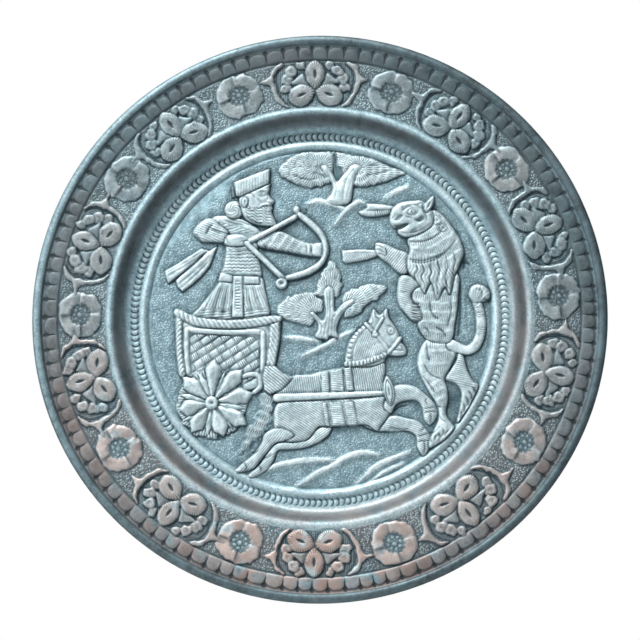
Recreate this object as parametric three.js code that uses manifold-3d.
// Round copper wall plaque with a hunting scene in low relief.
// Millimetres. The wall is the plane y = 0, the face looks along -Y and +Z is up.
// The relief is drawn on the face, x to the right and y up, and raised along its third axis.

import * as THREE from 'three';
import { mergeVertices } from 'three/addons/utils/BufferGeometryUtils.js';
import Module from 'manifold-3d';

// The dish: one sheet, hammered from a flat well to a raised band, with a rolled edge
const PLATE_RADIUS = 150;
const SHEET = 1.0;
const ROLL_RADIUS = 2.6;
const ROLL_HEIGHT = 8.3;
const BAND_HEIGHT = 9.4;
const BAND_INNER = 111.5;
const BAND_OUTER = 144.6;
const WELL_RADIUS = 89.8;
const FILLET_WIDTH = 5.4;
const FILLET_RISE = 1.5;
const PUNCHED_RING_WIDTH = 4.0;
const RIM_STEPS = 52;

// How far each layer of the scene stands above the well, and of the border above the band
const GROUND_LINE = 0.8;
const FOLIAGE = 1.3;
const BODY = 1.7;
const OVER = 2.3;
const TOP = 2.8;
const BORDER_LOW = 0.7;
const BORDER_HIGH = 1.1;
const SOFT_EDGE = 0.5;

// The border, laid out by eye round the rim: angles in degrees from +X towards +Y
const ROSETTES = [5.5, 39, 72.6, 109.8, 144, 179, 213.6, 250.9, 288, 328.6];
const PALMETTES = [22.4, 56.3, 89.8, 127, 161.5, 195, 232.8, 269.7, 307.3, 346.6];
const ROSETTE_RADIUS = 11.6;
const ROSETTE_CENTRE = 124.8;
const PALMETTE_CENTRE = 121.2;
const TONGUES = 110;
const TONGUE_FOOT = 137.3;
const TONGUE_VALLEY = 141.4;
const TONGUE_TIP = 143.2;

// The chariot wheel: petals of a twelve-spoked rosette, as angle in degrees and length
const WHEEL = [-56.3, -44.5];
const WHEEL_DISC = 17.5;
const HUB_RADIUS = 3.4;
const PETALS = [
  [87, 23.4], [48, 23.6], [13, 22], [-32, 21.4], [-70, 18.6], [-125, 18.4], [192, 17.6], [138, 20.4],
];

const wasm = await Module();
wasm.setup();

// Solids

function toSolid(geometry) {
  const bare = geometry.index ? geometry.toNonIndexed() : geometry.clone();
  bare.deleteAttribute('normal');
  bare.deleteAttribute('uv');
  const merged = mergeVertices(bare, 1e-4);
  const corners = [];
  const index = merged.index.array;
  for (let i = 0; i < index.length; i += 3) {
    const [a, b, c] = [index[i], index[i + 1], index[i + 2]];
    if (a !== b && b !== c && c !== a) corners.push(a, b, c);
  }
  const vertProperties = new Float32Array(merged.attributes.position.array);
  const triVerts = new Uint32Array(corners);
  return new wasm.Manifold(new wasm.Mesh({ numProp: 3, vertProperties, triVerts }));
}

function toGeometry(solid) {
  const mesh = solid.getMesh();
  const geometry = new THREE.BufferGeometry();
  geometry.setAttribute('position', new THREE.BufferAttribute(mesh.vertProperties, 3));
  geometry.setIndex(new THREE.BufferAttribute(mesh.triVerts, 1));
  geometry.computeVertexNormals();
  return geometry;
}

// Outlines, each a closed list of points

function smooth(knots, steps) {
  const loop = new THREE.CatmullRomCurve3(knots.map(([x, y]) => new THREE.Vector3(x, y, 0)), true);
  return loop.getPoints(steps).slice(0, steps).map((p) => [p.x, p.y]);
}

// A strip along a spine of [x, y, half width], tapered with it
function strip(spine, steps) {
  const line = new THREE.CatmullRomCurve3(spine.map((p) => new THREE.Vector3(...p)));
  const left = [];
  const right = [];
  for (let i = 0; i <= steps; i += 1) {
    const p = line.getPoint(i / steps);
    const t = line.getTangent(i / steps);
    const run = Math.hypot(t.x, t.y);
    left.push([p.x - (t.y / run) * p.z, p.y + (t.x / run) * p.z]);
    right.push([p.x + (t.y / run) * p.z, p.y - (t.x / run) * p.z]);
  }
  return left.concat(right.reverse());
}

function ellipse([x, y], a, b, turn, steps) {
  const points = [];
  for (let i = 0; i < steps; i += 1) {
    const angle = (2 * Math.PI * i) / steps;
    points.push(turned([a * Math.cos(angle), b * Math.sin(angle)], turn, [x, y]));
  }
  return points;
}

// A leaf from its root to its tip, widest a little past the middle
function leaf([x, y], length, halfWidth, turn) {
  const side = [[0.3, 0.8], [0.75, 0.9]];
  const near = side.map(([t, w]) => [t * length, -w * halfWidth]);
  const far = side.map(([t, w]) => [t * length, w * halfWidth]).reverse();
  return [[0, 0], ...near, [length, 0], ...far].map((p) => turned(p, turn, [x, y]));
}

function turned([x, y], degrees, [cx, cy] = [0, 0]) {
  const angle = THREE.MathUtils.degToRad(degrees);
  const c = Math.cos(angle);
  const s = Math.sin(angle);
  return [cx + x * c - y * s, cy + x * s + y * c];
}

function onRim(degrees, radius) {
  return turned([radius, 0], degrees);
}

// Relief: an outline raised from inside the sheet to its own height, with a softened upper edge

function raise(points, floor, rise, soft = SOFT_EDGE, holes = []) {
  const corners = (outline) => outline.map(([x, y]) => new THREE.Vector2(x, y));
  const shape = new THREE.Shape(corners(points));
  holes.forEach((hole) => shape.holes.push(new THREE.Path(corners(hole))));
  const root = floor - SHEET / 2;
  const block = new THREE.ExtrudeGeometry(shape, {
    depth: SHEET / 2 + rise - 2 * soft,
    steps: 1,
    curveSegments: 4,
    bevelEnabled: soft > 0,
    bevelThickness: soft,
    bevelSize: soft,
    bevelOffset: -soft,
    bevelSegments: 1,
  });
  block.translate(0, 0, root + soft);
  return toSolid(block);
}

const inWell = (points, rise) => raise(points, SHEET, rise, SOFT_EDGE);
const crisp = (points, rise) => raise(points, SHEET, rise, 0);
const onBand = (points, rise) => raise(points, BAND_HEIGHT, rise, 0);

// The sheet

function dish() {
  const fillet = [0.15, 0.5, 0.85].map((t) => [
    WELL_RADIUS + t * FILLET_WIDTH,
    SHEET + FILLET_RISE * Math.sin(Math.PI * t) ** 0.6,
  ]);
  const ringEnd = WELL_RADIUS + FILLET_WIDTH + PUNCHED_RING_WIDTH;
  const hollow = [[0.24, 0.08], [0.5, 0.42], [0.76, 0.88], [1, 1]];
  const run = BAND_INNER - ringEnd;
  const climb = BAND_HEIGHT - SHEET;
  const front = hollow.map(([t, h]) => [ringEnd + t * run, SHEET + h * climb]);
  const wall = 0.75 * SHEET;
  const back = hollow.map(([t, h]) => [ringEnd + t * run + wall * Math.sin(Math.PI * t), h * climb]);
  const roll = [];
  for (let degrees = 135; degrees >= -180; degrees -= 45) {
    const angle = THREE.MathUtils.degToRad(degrees);
    const centre = PLATE_RADIUS - ROLL_RADIUS;
    roll.push([centre + ROLL_RADIUS * Math.cos(angle), ROLL_HEIGHT + ROLL_RADIUS * Math.sin(angle)]);
  }
  const profile = [
    [0, SHEET], [WELL_RADIUS, SHEET], ...fillet, [ringEnd, SHEET + 0.1], ...front,
    [BAND_OUTER, BAND_HEIGHT], ...roll, ...back.reverse(), [ringEnd, 0], [0, 0],
  ];
  const outline = profile.map(([r, h]) => new THREE.Vector2(r, h));
  return toSolid(new THREE.LatheGeometry(outline.reverse(), RIM_STEPS).rotateX(Math.PI / 2));
}

// The border

function tongues() {
  const edge = [];
  const pitch = 360 / TONGUES;
  for (let i = 0; i < TONGUES; i += 1) {
    edge.push(onRim(i * pitch, TONGUE_VALLEY));
    edge.push(onRim((i + 0.28) * pitch, TONGUE_TIP));
    edge.push(onRim((i + 0.72) * pitch, TONGUE_TIP));
  }
  const foot = ellipse([0, 0], TONGUE_FOOT, TONGUE_FOOT, 0, RIM_STEPS);
  return [raise(edge, BAND_HEIGHT, BORDER_LOW, 0, [foot])];
}

function rosette(degrees) {
  const centre = onRim(degrees, ROSETTE_CENTRE);
  const petals = [];
  for (let i = 0; i < 12; i += 1) {
    const notch = i % 3 === 0 ? 0.86 : 1;
    petals.push(turned([ROSETTE_RADIUS * notch, 0], degrees + i * 30, centre));
  }
  return [
    onBand(petals, BORDER_LOW),
    onBand(ellipse(centre, 5, 5, degrees, 6), BORDER_HIGH),
  ];
}

// Three leaves on one foot, between the two arms of a collar
function palmette(degrees) {
  const foot = onRim(degrees, PALMETTE_CENTRE);
  const leaves = [[0, 15.4, 5], [122, 13.4, 5.4], [238, 13.4, 5.4]];
  const trefoil = leaves.flatMap(([turn, length, halfWidth]) => [
    ...[[0.7 * length, -halfWidth], [length, 0], [0.7 * length, halfWidth]]
      .map((p) => turned(p, degrees + turn, foot)),
    turned([4.4, 0], degrees + turn + 60, foot),
  ]);
  const parts = [onBand(trefoil, BORDER_HIGH)];
  for (const hand of [-1, 1]) {
    const arm = [[7.2, 135.6], [9.4, 127], [6.6, 113.4]];
    const spine = arm.map(([turn, radius]) => [...onRim(degrees + hand * turn, radius), 1.2]);
    parts.push(onBand(strip(spine, 3), BORDER_LOW));
  }
  return parts;
}

// The scene

function archer() {
  return [
    inWell(strip([[-57, 36.8, 3.2], [-70, 27.8, 3.3], [-80.6, 21.3, 3.1]], 3), FOLIAGE),
    inWell(strip([[-56, 34, 2.4], [-64, 25, 2.8], [-73.6, 17, 2.8]], 3), FOLIAGE),
    inWell([
      [-57, 53.5], [-46, 55.5], [-35, 49.5], [-30, 44.5], [-33, 36], [-31, 25], [-30.8, 20],
      [-26.8, 1], [-67, 1], [-62.5, 6], [-52, 24], [-49, 36], [-51, 41],
    ], BODY),
    inWell(smooth([[-41, 66], [-45, 72.5], [-26, 79.6], [-26.4, 70.5]], 4), OVER),
    inWell([
      [-41, 64.6], [-26.6, 71], [-26, 66.8], [-24, 62.6], [-25.8, 61.4], [-25, 58.6], [-25.2, 55],
      [-23.8, 51], [-24.2, 48.8], [-33, 49.4], [-40, 54],
    ], OVER),
    inWell(ellipse([-44.6, 58.2], 5.2, 5, 0, 8), OVER),
    inWell([[-57, 54], [-64, 50.5], [-66.4, 46], [-62.4, 41], [-50, 40.4], [-47.5, 47]], OVER),
    inWell(strip([[-52, 43.5, 3.2], [-44, 42, 3], [-37.5, 41.2, 2.4]], 3), TOP),
    inWell(strip([[-30.5, 41.3, 4.6], [-15, 38.8, 3.8], [-3, 36.4, 2.9], [4, 36.4, 3.1]], 4), OVER),
    crisp([[-51.8, 24], [-31.4, 22.6], [-31.2, 18.2], [-53.4, 19.6]], OVER),
    crisp([[-44.8, 22.4], [-40.4, 22.2], [-39.6, 1.5], [-46, 1.5]], OVER),
  ];
}

function bow() {
  const limb = [[-11.5, 55.8, 1.6], [-3.4, 49, 1.7], [2, 42, 1.6], [2.6, 35, 1.5], [-0.4, 29.5, 1.6],
    [-6, 25.4, 1.6], [-12, 23.2, 1.5], [-19, 21.2, 1.4]];
  return [
    inWell(strip(limb, 9), BODY),
    crisp(strip([[-36, 41.4, 1.3], [-13.4, 53.8, 1.3]], 1), TOP),
    crisp(strip([[-38, 39.8, 1.5], [-19.4, 21.6, 1.3]], 1), TOP),
    crisp(ellipse([-12, 57.4], 1.9, 1.9, 0, 6), BODY),
    crisp(ellipse([-20, 18.6], 3, 3, 0, 8), BODY),
  ];
}

function chariot() {
  const body = [
    [-75.5, 5.6], [-69, 2.6], [-60, 0.2], [-46, -0.6], [-32, 0.8], [-21, 1.8], [-19.8, -0.4],
    [-20.4, -10], [-22.8, -24.4], [-28, -24.6], [-30, -45], [-56, -46], [-74, -29], [-75.6, -8],
  ];
  const opening = [[-68.4, -7.2], [-31.6, -9.8], [-31.2, -30], [-42, -34], [-66.6, -30]];
  const clip = raise(opening, SHEET, OVER, 0);
  const weave = [];
  for (let i = 0; i < 4; i += 1) {
    const rise = -29.5 + 7 * i;
    weave.push(crisp(strip([[-69, rise - 8, 1], [-31, rise + 9, 1]], 1), BODY).intersect(clip));
    weave.push(crisp(strip([[-71 + 9.6 * i, -7, 1], [-57 + 9.6 * i, -31, 1]], 1), BODY).intersect(clip));
  }
  const petals = PETALS.map(([turn, length]) => crisp(leaf(WHEEL, length, 4.2, turn), TOP));
  return [
    crisp(body, FOLIAGE),
    crisp(strip([[-74.5, 3.4, 2.2], [-60, -2.2, 2.5], [-45, -3, 2.5], [-22, -0.4, 2.2]], 4), OVER),
    crisp(strip([[-23.4, -1, 2.8], [-24, -12, 2.8], [-25.6, -24, 2.6]], 2), OVER),
    crisp(strip([[-73.4, 2, 1.9], [-73.4, -14, 1.9], [-72, -29, 1.8]], 2), OVER),
    ...weave,
    crisp(ellipse(WHEEL, WHEEL_DISC, WHEEL_DISC, 0, 18), FOLIAGE + 0.3),
    ...petals,
    crisp(ellipse(WHEEL, HUB_RADIUS, HUB_RADIUS, 0, 8), TOP + 0.3),
    inWell([
      [-28.4, -24.6], [-23.6, -24.6], [-19, -28.6], [-13.6, -31], [-16.4, -35], [-21, -38.8],
      [-26, -40.4], [-29.6, -38],
    ], BODY),
    crisp(strip([[-27.5, -39, 3], [-28.6, -50, 3.8], [-36.6, -62.4, 1.8]], 3), GROUND_LINE),
  ];
}

function horses() {
  return [
    inWell([
      [-23, -40], [-14, -30.4], [1, -28.2], [14, -25], [14.2, -17.5], [16.4, -10.6], [21, -5.2],
      [26, -0.6], [28.4, 5], [31.6, 1.6], [35, 5], [38, -2.8], [41.6, -9], [45.4, -16.4],
      [44.8, -19.2], [36, -20], [33.6, -24], [34.4, -29], [33, -40],
    ], BODY),
    crisp(strip([[14.4, -24, 1.3], [24, -23.2, 1.3], [34, -19.6, 1.2]], 3), OVER),
    crisp(strip([[24, -3.4, 1], [30, -9.4, 1], [36.4, -18.4, 1]], 2), OVER),
    crisp(strip([[32.4, -0.6, 0.9], [29.6, -8, 0.9]], 1), OVER),
    crisp(strip([[42, -11, 1], [36.4, -18, 1]], 1), OVER),
    inWell(strip([[-22.5, -42, 2.2], [33, -39.8, 1.4]], 1), TOP),
    inWell([
      [-20, -44], [36, -41], [37.4, -47.6], [34, -54], [30, -59.6], [24, -56.6], [8, -57.4], [-1, -58],
      [-5, -63], [-9.6, -64.8], [-21, -64.8],
    ], BODY),
    crisp([[1, -27.6], [12.6, -26.4], [13.6, -38.6], [0.4, -38.8]], OVER),
    crisp([[1.6, -44.6], [13, -44], [16.4, -56.6], [6, -57]], OVER),
    inWell(strip([[-17, -60.6, 3.8], [-27, -63.6, 3.6], [-33.6, -72, 3.4], [-42, -79.2, 0.8]], 4), BODY),
    inWell(strip([
      [4, -60, 2.8], [-6, -65.4, 2.2], [-20, -68, 2.4], [-28, -75, 2.8], [-34.6, -83, 0.9],
    ], 5), FOLIAGE),
    inWell(strip([[37, -43, 4.6], [46, -39.6, 4.2], [55, -43.8, 3], [57.6, -55, 2.6]], 5), BODY),
    inWell(strip([[30, -55.4, 3.8], [45, -56.4, 3.6], [54, -62.4, 2.8], [53.6, -72, 3.2]], 5), BODY),
    crisp(leaf([35.4, -30.4], 15.4, 2.6, -80), TOP),
  ];
}

function lion() {
  return [
    inWell(smooth([
      [46.4, 42], [57, 57], [64, 55], [70, 46.4], [75, 37], [74, 24], [68, 12.4], [61, 9.6],
      [55, 13], [47, 22], [46, 32],
    ], 16), OVER),
    inWell(smooth([
      [36.6, 52.4], [38.6, 58.4], [45, 61.8], [54, 61.6], [59, 55], [58.4, 48.4], [50, 43.2],
      [41.4, 45.4], [42, 48.6],
    ], 14), TOP),
    crisp(leaf([55.4, 56], 9.6, 2.2, 60), TOP + 0.3),
    inWell(smooth([[30, 39.6], [38, 38.4], [45, 34], [45, 24], [42, 23.4], [31, 31.4]], 8), BODY),
    inWell(strip([[50, 20.4, 3.8], [43.6, 18, 4.2], [43.2, 8, 3.4], [50.6, 1, 3.2]], 5), OVER),
    inWell([
      [48, 18], [48.4, 8], [52, 1.4], [51, -5], [55.6, -12], [72, -12], [71.4, -4], [73.2, 4],
      [73.2, 22], [60, 24],
    ], BODY),
    inWell(smooth([
      [56, -11.4], [52, -18], [51.4, -26], [54.4, -35], [60, -44], [60.8, -52], [57.4, -62], [60, -65.4],
      [69.4, -56.6], [66.4, -46], [66, -34], [70.6, -24], [72, -13], [64, -10],
    ], 17), OVER),
    inWell(smooth([
      [72, -15], [77.4, -27], [82.4, -34.6], [79, -41], [75, -50], [72.4, -57], [70.6, -54], [73, -44],
      [70, -36], [65.6, -31.6],
    ], 14), BODY),
    inWell(strip([
      [70, -13.4, 2.8], [77, -17, 2.2], [83.2, -11, 2.1], [84, 0, 2.2], [81, 10, 2.4],
    ], 7), BODY),
    inWell(ellipse([83.2, 11.6], 5.2, 4.6, -20, 8), OVER),
  ];
}

function trees() {
  const reach = WELL_RADIUS - 0.4;
  const sky = raise(ellipse([0, 0], reach, reach, 0, RIM_STEPS), SHEET, TOP, 0);
  const crowns = [
    smooth([[-21.4, 80], [-13, 71.6], [4.6, 71.4], [6.6, 80], [6, 92], [-10, 92]], 10),
    smooth([[10, 92], [13.6, 80], [18, 70.4], [30, 71.4], [43, 77], [30, 92]], 10),
  ];
  const boughs = [
    smooth([[-23, 4.8], [-15, 11.4], [-4, 14.4], [1.4, 10], [-4.6, -4.6], [-16, -1.4]], 10),
    smooth([[-2, 10.6], [-1.6, 19], [7.4, 30.6], [10.6, 20], [11, 12], [4, 3]], 9),
    smooth([[12, 14.4], [22, 17.6], [34.4, 16], [26, 5.6], [12, 0.6], [10, 6]], 10),
  ];
  return [
    ...crowns.map((crown) => crisp(crown, FOLIAGE).intersect(sky)),
    inWell([
      [3.6, 62.6], [6.4, 69], [0, 80], [3.4, 81.4], [9.4, 73.4], [17, 82], [22.4, 80],
      [17.4, 70], [16, 61],
    ], BODY),
    ...boughs.map((bough) => crisp(bough, FOLIAGE)),
    inWell([
      [-5.4, 2.6], [-1.6, 2.8], [2, -0.6], [4, 5], [10, 9.4], [15.6, 9.6], [10.4, 1.6],
      [8.4, -10.6], [-0.4, -11],
    ], BODY),
  ];
}

// Hill lines and the two shafts in flight
function groundLines() {
  const ridges = [
    [[-6.4, 61, 0.4], [2, 62.6, 1], [14, 58.2, 0.6]],
    [[8, 50, 0.4], [14, 57.6, 1], [24, 62, 0.5]],
    [[35, 64.4, 0.4], [41, 67.6, 1], [48, 69, 0.5]],
    [[-18, -10, 0.6], [-10, -10.4, 1.1], [-1, -11.8, 0.5]],
    [[-9, -19.4, 0.5], [2, -14.6, 1], [17, -6.8, 0.5]],
    [[0, -81.6, 0.5], [14, -73.4, 1.2], [31, -71, 0.7]],
    [[19.8, -86, 0.5], [30, -77.6, 1.2], [47, -69.8, 0.8]],
    [[-34, -82.4, 0.5], [-18, -76.6, 1.1], [6, -74.2, 1]],
    [[-12.4, -88.4, 0.5], [-3, -82, 1.1], [10, -76.2, 0.7]],
  ];
  return [
    ...ridges.map((spine) => crisp(strip(spine, 3), GROUND_LINE)),
    crisp(strip([[20.6, 57.4, 2.6], [32, 57.4, 2.6], [39.6, 58, 1.4]], 2), FOLIAGE),
    crisp(strip([[11.6, 33.2, 3], [22, 33.4, 2.8], [30.6, 35, 1.6]], 2), FOLIAGE),
  ];
}

// The whole plaque, one piece of hammered sheet

const relief = [
  ...tongues(),
  ...ROSETTES.flatMap(rosette),
  ...PALMETTES.flatMap(palmette),
  ...groundLines(),
  ...trees(),
  ...chariot(),
  ...horses(),
  ...archer(),
  ...bow(),
  ...lion(),
];

const plaqueSolid = relief.reduce((sheet, piece) => sheet.add(piece), dish());

const tinnedCopper = new THREE.MeshStandardMaterial({
  color: 0x7f9199,
  roughness: 0.45,
  metalness: 0.9,
});
const plaque = new THREE.Mesh(toGeometry(plaqueSolid), tinnedCopper);
plaque.name = 'copper_plaque';
plaque.rotation.x = Math.PI / 2;

const group = new THREE.Group();
group.add(plaque);

export default group;
